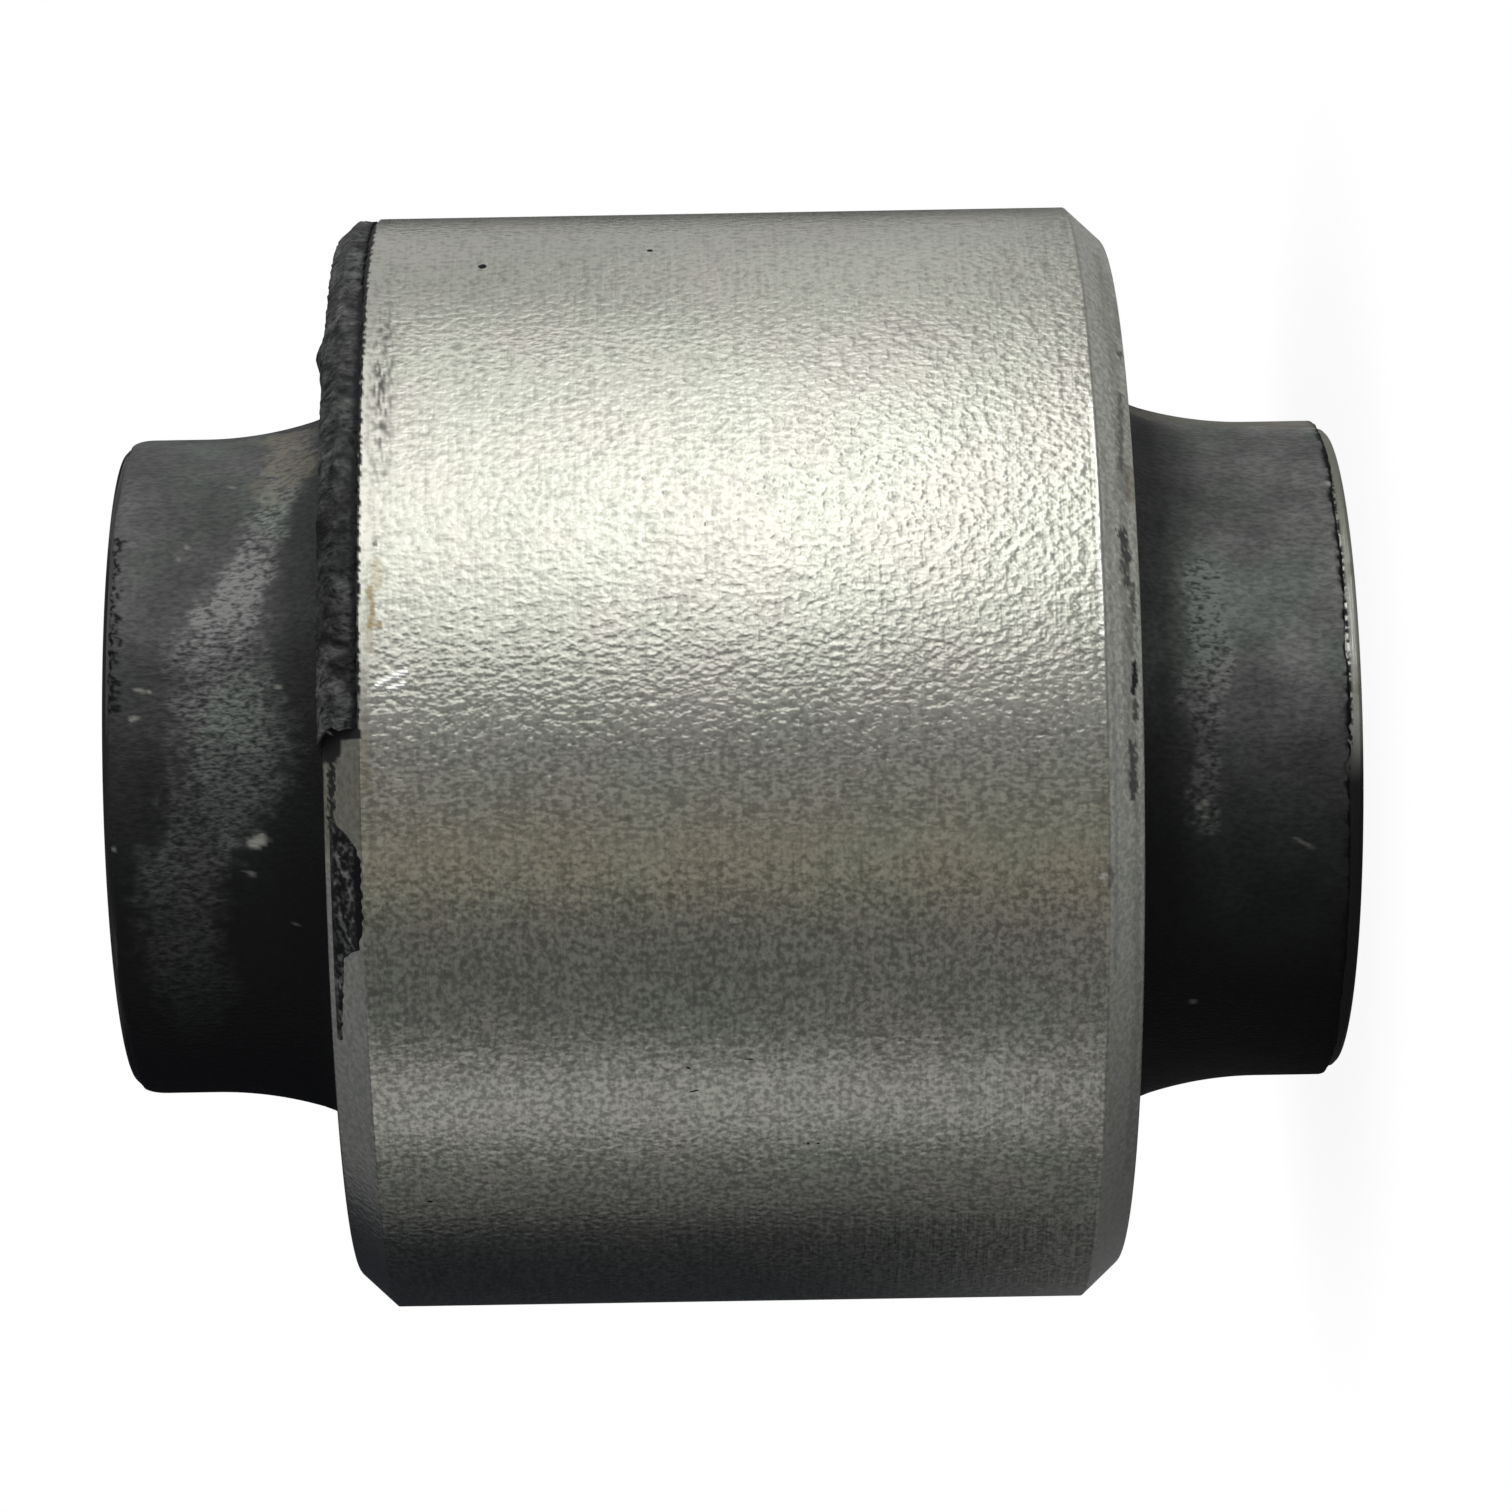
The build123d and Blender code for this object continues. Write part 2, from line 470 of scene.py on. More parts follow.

# Under the lip's ragged edge the steel is painted black: painted shadow in the gap between the lip and the
# sleeve.
UNDER_LIP_START = 2.4
lip_gap_shadow = np.clip((reach - LEAD_IN_START + 0.02 + 0.12 * ragged) / 0.03, 0, 1) * (turn > UNDER_LIP_START)

# Along the tear the lead-in is painted black: partly a skin of rubber left there, and partly painted shadow
# of the lip's torn end. It is fainter where the lead-in starts.
TEAR_SHADOW_STOP = 5
tear_shadow_start = 2.0 - 1.9 * np.clip(reach - LEAD_IN_START, 0, 1.2) + 0.5 * ragged
tear_shadow_and_residue = (reach > LEAD_IN_START) * np.clip((turn - tear_shadow_start) / 0.4, 0, 1) * (turn < TEAR_SHADOW_STOP)
tear_shadow_and_residue = tear_shadow_and_residue * np.clip((reach - 14.6) / 0.2, 0.3, 1)

# A streaky smudge lies on the outside just below the lip.
streaks = roughness_at(round_turn * 0.3, radius, reach, 0.13, 4.0)
smudge = hump(turn, 42, 19) * hump(reach, 13.25, 0.75) * np.clip(0.3 + 1.7 * streaks, 0, 1) * 0.9

grime_and_shade = marked(turn, radius, reach, ragged, GRIME)
# This paint holds real grime and also the painted shadows under the lip and along the tear.
paint(outer_sleeve, "grime_and_shade", np.maximum.reduce([grime_and_shade, smudge, blotches, lip_gap_shadow, tear_shadow_and_residue]))
paint(outer_sleeve, "rust", marked(turn, radius, reach, ragged, RUST))
paint(outer_sleeve, "scratches", marked(turn, radius, reach, 0.2 * ragged, SCRATCHES))

# A straw tint runs along the outside in one stripe, and over the lead-in beside the tear.
STRAW_TURN = -10.5
STRAW_SPREAD = 7.5
on_outside = np.abs(reach) < LEAD_IN_START
straw = np.exp(-(((turn - STRAW_TURN) / STRAW_SPREAD) ** 2)) * on_outside
straw = straw + hump(turn, -3, 9) * (reach > LEAD_IN_START)
paint(outer_sleeve, "straw", straw)

COAT_PITS = ((0.385, 0.4, 0.34, 1), (0.4, 0.39, 0.345, 1))
COAT_CRESTS = ((0.605, 0.62, 0.535, 1), (0.625, 0.61, 0.54, 1))
COAT_SHADE = (0.12, 0.12, 0.1, 1)
TURNED_STEEL = ((0.6, 0.61, 0.54, 1), (0.95, 0.96, 0.87, 1))
SHADED_STEEL = (0.2, 0.21, 0.2, 1)
STRAW_TINT = (1.03, 0.96, 0.81, 1)
RUST_BROWN = (0.33, 0.26, 0.14, 1)
SCRATCHED_STEEL = (0.95, 0.95, 0.92, 1)
GRIME_AND_SHADE_BLACK = (0.012, 0.012, 0.012, 1)
CRINKLE_SIZE = 0.235
CRINKLE_DEPTH = 0.055

sleeve_steel = Finish("phosphated_steel")
spot = sleeve_steel.spot()
turn = sleeve_steel.turn(spot)
reach = sleeve_steel.reach(spot)
crinkle = sleeve_steel.grain(spot, (1, 1, 0.72), CRINKLE_SIZE, 1.0, 0.4)
brushing = sleeve_steel.grain(spot, (0.1, 0.1, 2.2), 0.35, 1.0, 0.5)
mottle = sleeve_steel.grain(spot, (1, 1, 1), 0.22, 2.0, 0.6)
creases = sleeve_steel.grain(spot, (1, 1, 0.5), 0.15, 1.0, 0.4)
clouds = sleeve_steel.grain(spot, (1, 1, 1), 4.5, 3.0, 0.6)
grime_and_shade = sleeve_steel.painted("grime_and_shade")
rust = sleeve_steel.painted("rust")
scratches = sleeve_steel.painted("scratches")
straw = sleeve_steel.painted("straw")

# The coat is crinkled on the +X side. Opposite, and near the lip, handling has rubbed it smooth.
side = turn.sine()
upper = side.rise(-0.41, 0.2)
rubbed_edge = reach.rise(13.4, 13.75) * side.rise(-0.2, -0.07)
crinkled = (upper * 0.65 + 0.35) * (side.rise(0.91, 0.69) * 0.35 + 0.65)
crinkled = crinkled * (1 - rubbed_edge * 0.85) * reach.rise(-14.1, -13.95)
crests = (crinkle * upper * 0.8 + mottle * (1.4 - upper * 0.6) + brushing * 0.4).rise(0.66, 1.14)
tint = clouds.rise(0.35, 0.65)
steel = sleeve_steel.blend(
    crests, sleeve_steel.blend(tint, *COAT_PITS), sleeve_steel.blend(tint, *COAT_CRESTS)
)
# Painted shade darkens the coat's creases near turn 0. Mottled spots darken the -X side: stains in part, and
# in part painted shade on the side the lamps leave dim.
crease_shade = side.within(-0.09, 0.0, 0.11) * creases.rise(0.58, 0.4) * 0.48
mottled_stain_and_shade = side.rise(0.0, -0.3) * (mottle * 0.7 + crinkle * 0.3).rise(0.6, 0.36) * 0.38
steel = sleeve_steel.blend(crease_shade | mottled_stain_and_shade, steel, COAT_SHADE)

# The lead-ins are bare turned steel. Painted shade darkens them on the -X side, and on the upper lead-in near
# turn 0.
turned_steel = sleeve_steel.blend(mottle.rise(0.3, 0.7), *TURNED_STEEL)
lead_in_shade = side.rise(0.26, -0.97) * 0.55 | reach.rise(13.9, 14.1) * side.within(-0.13, 0.1, 0.06) * 0.45
turned_steel = sleeve_steel.blend(lead_in_shade, turned_steel, SHADED_STEEL)
steel = sleeve_steel.blend(abs(reach).rise(LEAD_IN_START, LEAD_IN_START + 0.12), steel, turned_steel)

steel = sleeve_steel.blend(straw * (0.4 + clouds * 0.8), steel, STRAW_TINT, "MULTIPLY")
steel = sleeve_steel.blend(rust, steel, RUST_BROWN)
steel = sleeve_steel.blend(scratches, steel, SCRATCHED_STEEL)
# Black where grime lies and where shadow is painted under the lip and along the tear.
steel = sleeve_steel.blend(grime_and_shade, steel, GRIME_AND_SHADE_BLACK)
sleeve_steel.feed(
    Base_Color=steel,
    Metallic=1 - grime_and_shade,
    Roughness=0.24 + clouds * 0.06 + rust * 0.2 + grime_and_shade * 0.5,
    Normal=sleeve_steel.bumps(crinkle * crinkled + brushing * 0.15 + scratches * 0.5, CRINKLE_DEPTH),
)
outer_sleeve.data.materials.append(sleeve_steel.material)
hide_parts("outer_sleeve")
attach(outer_sleeve, "root")

# ---------------------------------------------------------------------------------------------
# Rubber body: natural rubber moulded between the two sleeves in one shot and bonded to both. It
# runs along the inner sleeve in two collars, dips to a rounded groove in each end, and spills
# over the upper end of the outer sleeve in a thin lip that is torn off at one side.
# ---------------------------------------------------------------------------------------------

COLLAR_RADIUS = 13.55
UPPER_END = 24.45
LOWER_END = 24.15
UPPER_CORNER = (0.3, 0.8)
LOWER_CORNER = (0.15, 0.15)
FLARE_START = 21.5
FLARE_END = 17.0
FLARE_RADIUS = 15.4
GROOVE_RADIUS = 3.0
BODY_COLUMNS = 570
GROOVE_POINTS = 14
FLARE_POINTS = 20
COLLAR_POINTS = 16
CORNER_POINTS = 8

flare_top = COLLAR_RADIUS + FLARE_RADIUS - sqrt(FLARE_RADIUS**2 - (FLARE_START - FLARE_END) ** 2)
flare_slope = asin((FLARE_START - FLARE_END) / FLARE_RADIUS)
groove_centre = flare_top + GROOVE_RADIUS * cos(flare_slope)
groove_mouth = FLARE_END + GROOVE_RADIUS * sin(flare_slope)
groove_edge = groove_centre + sqrt(GROOVE_RADIUS**2 - (groove_mouth - SLEEVE_HALF) ** 2)

WAVES_SUMMED = 14


def waver(turn, seed, waves, depth):
    """An uneven edge that closes on itself, with about this many waves round the bush."""
    chance = np.random.default_rng(seed)
    total = np.zeros_like(turn)
    for _ in range(WAVES_SUMMED):
        count = max(1, int(waves * chance.uniform(0.5, 1.6)))
        total = total + np.sin(count * turn + chance.uniform(0, 2 * pi))
    return depth * total / sqrt(WAVES_SUMMED / 2)


def half_body(end, corner):
    """Radii and reaches from the outer sleeve's bore, by groove and flare, to the inner sleeve."""
    across, along = corner
    points = [(SLEEVE_BORE, SLEEVE_HALF), ((SLEEVE_BORE + groove_edge) / 2, SLEEVE_HALF)]
    groove_start = asin((groove_centre - groove_edge) / GROOVE_RADIUS)
    for slant in np.linspace(groove_start, pi / 2 - flare_slope, GROOVE_POINTS):
        points.append((groove_centre - GROOVE_RADIUS * sin(slant), groove_mouth - GROOVE_RADIUS * cos(slant)))
    for reach in np.linspace(FLARE_END, FLARE_START, FLARE_POINTS)[1:]:
        drop = sqrt(FLARE_RADIUS**2 - (FLARE_START - reach) ** 2)
        points.append((COLLAR_RADIUS + FLARE_RADIUS - drop, reach))
    for reach in np.linspace(FLARE_START, end - along, COLLAR_POINTS)[1:]:
        points.append((COLLAR_RADIUS, reach))
    for slant in np.linspace(0, pi / 2, CORNER_POINTS)[1:]:
        points.append((COLLAR_RADIUS - across * (1 - cos(slant)), end - along * (1 - sin(slant))))
    points.append((INNER_RADIUS, end))
    return np.array(points)


def grown(points, change):
    """Radii and reaches in every column, with the change of a collar's end fading out along it."""
    share = np.clip((points[:, 1] - FLARE_START) / (UPPER_END - FLARE_START), 0, 1)[:, None] ** 4
    reach = points[:, 1][:, None] + share * change[None, :]
    return np.repeat(points[:, 0][:, None], len(change), axis=1), reach


# The collars end in wavering edges. A row of nibbles runs along part of the upper one. The lower
# one swells towards +X and -X, and has lost chips, each a turn, half a width and a depth.
NIBBLE_TURN = 27
NIBBLE_HALF = 20
NIBBLE_DEPTH = 0.14
NIBBLE_WAVES = 71
LOWER_SWELL = 0.15
CHIPS = [
    (3.4, 0.9, 0.14),
    (1.2, 0.9, 0.2),
    (-3.6, 2.2, 0.28),
    (-7.5, 1.3, 0.06),
    (17.0, 3.0, 0.06),
    (50, 1.5, 0.12),
]

body_turns = turns(BODY_COLUMNS, CROWDING)
body_degrees = np.degrees(body_turns)
nibbles = NIBBLE_DEPTH * hump(body_degrees, NIBBLE_TURN, NIBBLE_HALF) * np.sin(NIBBLE_WAVES * body_turns) ** 4
upper_change = waver(body_turns, 3, 14, 0.03) + waver(body_turns, 4, 60, 0.018) - nibbles
lower_change = waver(body_turns, 5, 11, 0.04) + waver(body_turns, 6, 70, 0.02)
lower_change = lower_change + LOWER_SWELL * np.sin(body_turns) ** 2
for middle, half, depth in CHIPS:
    lower_change = lower_change - depth * hump(body_degrees, middle, half)
upper_radius, upper_reach = grown(half_body(UPPER_END, UPPER_CORNER), upper_change)
lower_radius, lower_reach = grown(half_body(LOWER_END, LOWER_CORNER), lower_change)
body_radius = np.concatenate([upper_radius, lower_radius[::-1]])
body_reach = np.concatenate([upper_reach, -lower_reach[::-1]])
body_shell = (
    place(body_turns[None, :], body_radius, body_reach),
    quads(len(body_radius), BODY_COLUMNS, True, True),
)

# The lip's section runs from the groove over the sleeve's end and down its lead-in. Its torn end
# is given as reaches and as distances from the turn 0.
LIP_TOP = 15.66
LIP_LOW = 14.1
LIP_RADIUS = 22.45
LIP_BEVEL = 0.75
LIP_END = 205.4
LIP_COLUMNS = 460
LIP_CROWDING = 1.6
SEATED = 0.03
SKIRT_TOP = 14.9
SKIRT_FADE = 0.8
STEP_TURN = 52
STEP_SPREAD = 6
STEP_HEIGHT = 0.15
NIB_TURN = 51.0
NIB_START = 42.6
NIB_STOP = 55.6
NIB_HEIGHT = 0.36
NIB_RADIUS = 20.45
NIB_WIDTH = 0.9
TEAR = [(14.0, 1.33), (14.55, 1.29), (14.82, 1.22), (15.06, 1.41), (15.26, 1.29), (15.54, 1.03), (15.66, 0.7)]


def slab(top, bottom):
    """A closed shell between two grids of points that face each other."""
    rows, columns = top.shape[:2]
    count = rows * columns
    index = np.arange(count).reshape(rows, columns)
    rim = np.concatenate([index[0, :-1], index[:-1, -1], index[-1, :0:-1], index[:0:-1, 0]])
    following = np.roll(rim, -1)
    sheet = quads(rows, columns, False, False)
    edge = np.stack([rim, following, following + count, rim + count], axis=-1)
    points = np.concatenate([top.reshape(-1, 3), bottom.reshape(-1, 3)])
    return points, np.concatenate([sheet[:, ::-1], sheet + count, edge])


lip_outer = [(18.9, 15.3), (groove_edge + 0.19, LIP_TOP)]
lip_outer += [(radius, LIP_TOP) for radius in np.linspace(19.4, LIP_RADIUS - LIP_BEVEL, 12)]
for share in (0.25, 0.5, 0.75, 1.0):
    lip_outer.append((LIP_RADIUS - LIP_BEVEL * (1 - share), LIP_TOP - LIP_BEVEL * share))
lip_outer += [(LIP_RADIUS, reach) for reach in (14.78, 14.66, 14.54, 14.42, 14.3, 14.2, LIP_LOW)]
lip_outer = np.array(lip_outer)
sleeve_slope = LEAD_IN_DEPTH / LEAD_IN_LENGTH
cone_low = OUTER_RADIUS - SEATED - sleeve_slope * (LIP_LOW - LEAD_IN_START)
seat = SLEEVE_HALF - SEATED
lip_under = [(18.85, 15.2), (19.2, seat)]
lip_under += [(radius, seat) for radius in np.linspace(19.5, 21.0, 11)]
for share in np.linspace(1, 0, 12):
    lip_under.append((cone_low + (21.05 - cone_low) * share, LIP_LOW + (seat - LIP_LOW) * share))
lip_under = np.array(lip_under)

tear_reach, tear_offset = np.array(TEAR).T
column_share = np.linspace(0, 1, LIP_COLUMNS) ** LIP_CROWDING


def lip_grid(section):
    """Turns, radii and reaches of one side of the lip, whose torn end follows the tear."""
    radius = section[:, 0][:, None]
    reach = section[:, 1][:, None]
    offset = np.interp(section[:, 1], tear_reach, tear_offset) * np.clip((section[:, 0] - 17.5) / 4, 0.3, 1)
    start = np.arcsin(offset / section[:, 0])[:, None]
    turn = start + (radians(LIP_END) - start) * column_share[None, :]
    return turn, np.repeat(radius, LIP_COLUMNS, axis=1), np.repeat(reach, LIP_COLUMNS, axis=1)


def skirt_share(reach):
    """1 along the lip's lower edge, fading to 0 above it."""
    return np.clip((SKIRT_TOP - reach) / SKIRT_FADE, 0, 1)


def drawn_up(turn):
    """How much higher the lip's lower edge lies past the nib than before it."""
    return STEP_HEIGHT * np.clip((np.degrees(turn) - STEP_TURN) / STEP_SPREAD, 0, 1)


turn, radius, reach = lip_grid(lip_outer)
degrees = np.degrees(turn)
edge = drawn_up(turn) + waver(turn, 8, 150, 0.03) + waver(turn, 9, 330, 0.025)
nib_climb = np.clip((degrees - NIB_START) / (NIB_TURN - NIB_START), 0, 1)
nib_fall = np.clip((NIB_STOP - degrees) / (NIB_STOP - NIB_TURN), 0, 1)
nib_across = np.clip(1.2 - np.abs(radius - NIB_RADIUS) / NIB_WIDTH, 0, 1)
nib = NIB_HEIGHT * np.minimum(nib_climb, nib_fall) ** 1.2 * nib_across
lumps = roughness_at(turn, radius, reach, 0.6, 5.0)
pimples = roughness_at(turn, radius, reach, 0.28, 9.0)
on_skin = np.clip((radius - 19.3) / 0.5, 0, 1)
radius = radius + on_skin * (0.09 * lumps + 0.07 * pimples - 0.06) * np.clip((16.0 - reach) / 1.2, 0.2, 1)
reach = reach + skirt_share(reach) * edge + on_skin * (nib + 0.05 * (lumps + pimples) * (reach > 15.4))
lip_top = place(turn, radius, reach)
turn, radius, reach = lip_grid(lip_under)
lift = skirt_share(reach) * drawn_up(turn)
lip_bottom = place(turn, radius - lift * sleeve_slope, reach + lift)
lip_shell = slab(lip_top, lip_bottom)

# A tongue of flash, as thin as paper, clings to the lead-in beside the tear. Its lower edge is
# given as turns and reaches.
FILM = [
    (-5.6, 15.2),
    (-6.6, 14.75),
    (-7.8, 14.35),
    (-9.2, 14.06),
    (-15.9, 14.04),
    (-18.4, 14.25),
    (-19.7, 14.84),
    (-29.4, 15.1),
]
FILM_INSIDE = 15.28
FILM_THICK = 0.06
FILM_COLUMNS = 150
FILM_ROWS = 26

film_turn, film_outside = np.array(FILM)[::-1].T
column = np.radians(np.linspace(FILM[-1][0], FILM[0][0], FILM_COLUMNS))[None, :]
outside = np.interp(np.degrees(column), film_turn, film_outside) + waver(column, 12, 260, 0.02)
row = np.linspace(0, 1, FILM_ROWS)[:, None]
reach = FILM_INSIDE + (outside - FILM_INSIDE) * row
turn = np.repeat(column, FILM_ROWS, axis=0)
cone = OUTER_RADIUS - sleeve_slope * (reach - LEAD_IN_START)
crown = np.minimum(1, 6 * np.minimum(row, 1 - row)) * np.ones_like(turn)
ribs = roughness_at(turn * 0.45, cone, reach, 0.2, 3.0)
film_shell = slab(
    place(turn, cone + FILM_THICK * crown * (0.7 + 0.8 * ribs), reach),
    place(turn, cone - SEATED, reach),
)

SLIVER_RINGS = 9
SLIVER_SIDES = 8


def shaving(turn, reach, radius, heading, length, width, arch):
    """A sliver of rubber: a tapered strand that leaves the skin and comes back to it."""
    rings = []
    for share in np.linspace(0, 1, SLIVER_RINGS):
        along = (share - 0.5) * length
        lift = arch * sin(pi * share)
        thick = width * (0.15 + 0.85 * sin(pi * share))
        for side in np.linspace(0, 2 * pi, SLIVER_SIDES, endpoint=False):
            out = radius + lift + thick * 0.5 * sin(side)
            across = thick * cos(side)
            up = reach + along * cos(radians(heading)) - across * sin(radians(heading))
            sideways = along * sin(radians(heading)) + across * cos(radians(heading))
            rings.append(place(radians(turn) + sideways / radius, out, up))
    tip = np.array([(0, 1, 2, 3), (0, 3, 4, 7), (4, 5, 6, 7)])
    last_ring = (SLIVER_RINGS - 1) * SLIVER_SIDES
    skin = quads(SLIVER_RINGS, SLIVER_SIDES, False, True)[:, ::-1]
    return np.array(rings), np.concatenate([skin, tip, tip[:, ::-1] + last_ring])


# Curls stand at the lip's edge and at its tear. Crumbs lie flat on the sleeve.
CURLS = [
    (66.0, 14.1, 22.3, 12, 0.55, 0.07, 0.08),
    (34.6, 14.2, 22.25, 35, 0.6, 0.07, 0.12),
    (33.4, 14.35, 22.35, 80, 0.5, 0.08, 0.06),
    (16.8, 15.0, 22.2, 70, 0.75, 0.05, 0.14),
    (3.0, 15.15, 22.0, 30, 0.35, 0.06, 0.1),
    (25.0, 14.15, 22.3, 60, 0.35, 0.05, 0.06),
]
CRUMBS = [
    (60.4, 9.54, 22.46, 20, 0.44, 0.22, 0.0),
    (63.8, 2.92, 22.46, 70, 0.36, 0.16, 0.0),
    (79.5, -1.97, 22.43, 0, 0.45, 0.12, 0.0),
    (-30.7, -0.4, 22.49, 3, 0.55, 0.04, 0.0),
    (-34.4, 1.7, 22.49, -15, 0.5, 0.05, 0.0),
    (-31.6, 1.9, 22.49, 30, 0.25, 0.05, 0.0),
    (-41.5, -2.65, 22.49, 20, 0.14, 0.06, 0.0),
    (-41.5, -3.04, 22.49, 0, 0.14, 0.06, 0.0),
    (-49.4, 12.05, 22.49, 0, 0.3, 0.07, 0.0),
    (131.0, 6.2, 22.48, 50, 0.3, 0.1, 0.0),
    (-118.0, -7.5, 22.48, 15, 0.35, 0.08, 0.0),
]
slivers = [shaving(*sizes) for sizes in CURLS + CRUMBS]
rubber_body = solid("rubber_moulding", [body_shell, lip_shell, film_shell] + slivers)

# Dust and the pale bloom of mould release lie on the rubber, in a wrinkled band that wanders down the upper
# collar and in grains of grit. The collars are painted lighter towards the +X side: partly dust, and partly
# painted light from the lamps on that side. This lightening on each collar is given by the sine of the turn,
# and the band by turns, with its middle, half its width and its strength.
UPPER_DUST_AND_LIGHT = [
    (-1.0, 0.0),
    (-0.76, 0.0),
    (-0.5, 0.01),
    (-0.27, 0.03),
    (0.0, 0.09),
    (0.22, 0.19),
    (0.5, 0.34),
    (1.0, 0.34),
]
LOWER_DUST_AND_LIGHT = [
    (-0.7, 0.0),
    (-0.47, 0.04),
    (-0.22, 0.1),
    (0.02, 0.26),
    (0.27, 0.72),
    (0.45, 0.76),
    (0.64, 0.54),
    (0.93, 0.42),
    (0.96, 0.8),
    (1.0, 0.9),
]
BAND = [
    (-56.0, 21.6, 0.8, 0.0),
    (-41.2, 21.5, 1.6, 0.06),
    (-28.5, 21.9, 1.6, 0.12),
    (-17.5, 21.6, 1.7, 0.15),
    (-9.0, 20.3, 2.0, 0.16),
    (-0.8, 19.4, 2.1, 0.2),
    (7.6, 19.5, 2.1, 0.27),
    (17.9, 20.2, 1.8, 0.34),
    (25.1, 19.9, 1.4, 0.46),
    (30.8, 19.2, 1.1, 0.5),
    (36.9, 18.6, 0.9, 0.44),
    (46.3, 18.2, 0.8, 0.36),
    (51.7, 17.8, 0.8, 0.4),
    (62.0, 17.6, 0.9, 0.33),
    (84.0, 17.8, 1.0, 0.0),
]
TAN = [
    (0.9, 1.1, [(56.0, 17.4), (62.0, 17.7), (74.0, 18.1)]),
    (0.6, 0.7, [(50.0, 18.0), (54.0, 18.6)]),
    (0.9, 1.3, [(76.0, -17.0), (80.0, -19.0), (80.0, -23.6)]),
]
LOWER_BLOOM = [
    (1.0, 0.9, [(30.0, -18.7), (21.0, -18.5), (14.1, -18.9), (9.0, -18.2)]),
    (0.8, 0.7, [(10.0, -18.6), (-12.0, -18.3)]),
]
GRIT = [
    (1.0, 0.29, [(-12.8, 18.75), (-12.1, 18.45)]),
    (0.7, 0.12, [(12.5, 17.71)]),
    (0.7, 0.12, [(7.9, 23.5), (8.2, 23.3)]),
    (0.6, 0.12, [(12.5, 22.75)]),
    (0.5, 0.11, [(13.0, 23.3), (12.6, 23.0)]),
    (0.55, 0.14, [(39.9, 21.5)]),
    (0.45, 0.12, [(37.2, 21.79)]),
    (0.5, 0.12, [(55.0, 19.78)]),
    (0.6, 0.12, [(-13.8, 24.31)]),
    (0.45, 0.12, [(-17.7, 19.04), (-18.2, 18.8)]),
    (0.5, 0.12, [(-26.2, 17.32)]),
    (1.0, 0.18, [(51.1, -24.0)]),
    (0.6, 0.13, [(-8.4, -18.5), (-9.4, -18.2)]),
    (0.7, 0.12, [(-11.0, -18.35)]),
    (0.3, 0.1, [(-15.2, -22.04), (-16.8, -22.6)]),
    (0.5, 0.12, [(-46.1, -18.22)]),
]

turn, radius, reach = spots(rubber_body)
round_turn = np.radians(turn)
from_middle = np.abs(reach)
on_lip = (radius > 18.6) * (reach > 0)
on_collar = np.clip((17.6 - radius) / 0.8, 0, 1) * (from_middle > SLEEVE_HALF)
# Where the collars meet the sleeve their dust is thinned, which is painted shade of the flare.
shade_near_sleeve = np.clip((19.2 - from_middle) / 2.2, 0, 1)
patchy = roughness_at(round_turn, radius, reach, 2.6, 21.0)
ragged = roughness_at(round_turn, radius, reach, 0.5, 23.0)
fine = roughness_at(round_turn, radius, reach, 0.2, 25.0)
uneven = 1 + 0.35 * patchy

# The collars' dust is rubbed off at the lower end, and in teeth at the upper one.
upper_dust_and_light = np.interp(np.sin(round_turn), *np.array(UPPER_DUST_AND_LIGHT).T) * (1 - 0.62 * shade_near_sleeve)
lower_dust_and_light = np.interp(np.sin(round_turn), *np.array(LOWER_DUST_AND_LIGHT).T) * (1 - 0.75 * shade_near_sleeve)
worn_edge = np.clip((-24.02 - reach + 0.16 * ragged + 0.1 * fine) / 0.06, 0, 1)
teeth = (reach > 24.0 + 0.4 * ragged) * (fine > 0.02) * (turn > 9) * (turn < 43)
dust_and_shading = np.where(reach > 0, upper_dust_and_light * (1 - teeth), lower_dust_and_light * (1 - worn_edge)) * uneven
middle_turn, middle, half, strength = np.array(BAND).T
edge = np.abs(reach - np.interp(turn, middle_turn, middle)) / np.interp(turn, middle_turn, half)
band = np.clip((1.25 - edge + 0.5 * ragged) * 1.6, 0, 1) * (turn > middle_turn[0]) * (turn < middle_turn[-1])
bloom = marked(turn, radius, reach, 0.8 * ragged, LOWER_BLOOM)
dust_and_shading = (dust_and_shading + band * np.interp(turn, middle_turn, strength) * uneven + 0.16 * bloom) * on_collar

# The lip is cracked all over. Along its lower edge it is painted black, as painted shadow of the gap below
# it. Beside the tear its dust is thick.
gap_shadow = np.clip((LIP_LOW + 0.28 - reach + 0.15 * fine) / 0.1, 0, 1)
cracks = np.clip((np.abs(ragged + 0.3 * fine) < 0.035) * (patchy > -0.1) + gap_shadow, 0, 1)
lip_dust_and_shadow = np.clip(0.17 + 0.24 * ragged + 0.2 * patchy + 0.14 * fine, 0.02, 1) * (1 - cracks)
lip_dust_and_shadow = lip_dust_and_shadow * (1 - 0.5 * hump(turn, 21, 12) * (radius > 21.6) + 0.5 * hump(turn, 7, 6))
on_film = (reach < 15.15) * (turn < -4)
lip_dust_and_shadow = np.where(radius < 20.0, 0.4, 1) * np.where(on_film, 0.3 + 1.6 * (fine > 0.1), 1) * lip_dust_and_shadow
paint(rubber_body, "dust_and_shading", np.where(on_lip, lip_dust_and_shadow, dust_and_shading))
paint(rubber_body, "wrinkles", np.where(on_lip, 0.6, np.clip(0.3 + band + bloom, 0, 1) * on_collar))
paint(rubber_body, "tan", marked(turn, radius, reach, 0.9 * ragged, TAN) * on_collar)
paint(rubber_body, "grit", marked(turn, radius, reach, 0.1 * ragged, GRIT) * on_collar)

CLEAN_RUBBER = (0.0035, 0.0035, 0.0048, 1)
DUST_GREYS = ((0.295, 0.325, 0.295, 1), (0.31, 0.307, 0.3, 1))
TAN_TINT = (0.22, 0.2, 0.15, 1)
GRIT_GREY = (0.4, 0.4, 0.36, 1)
FLAKE_SIZE = 0.17
FLAKE_DEPTH = 0.1

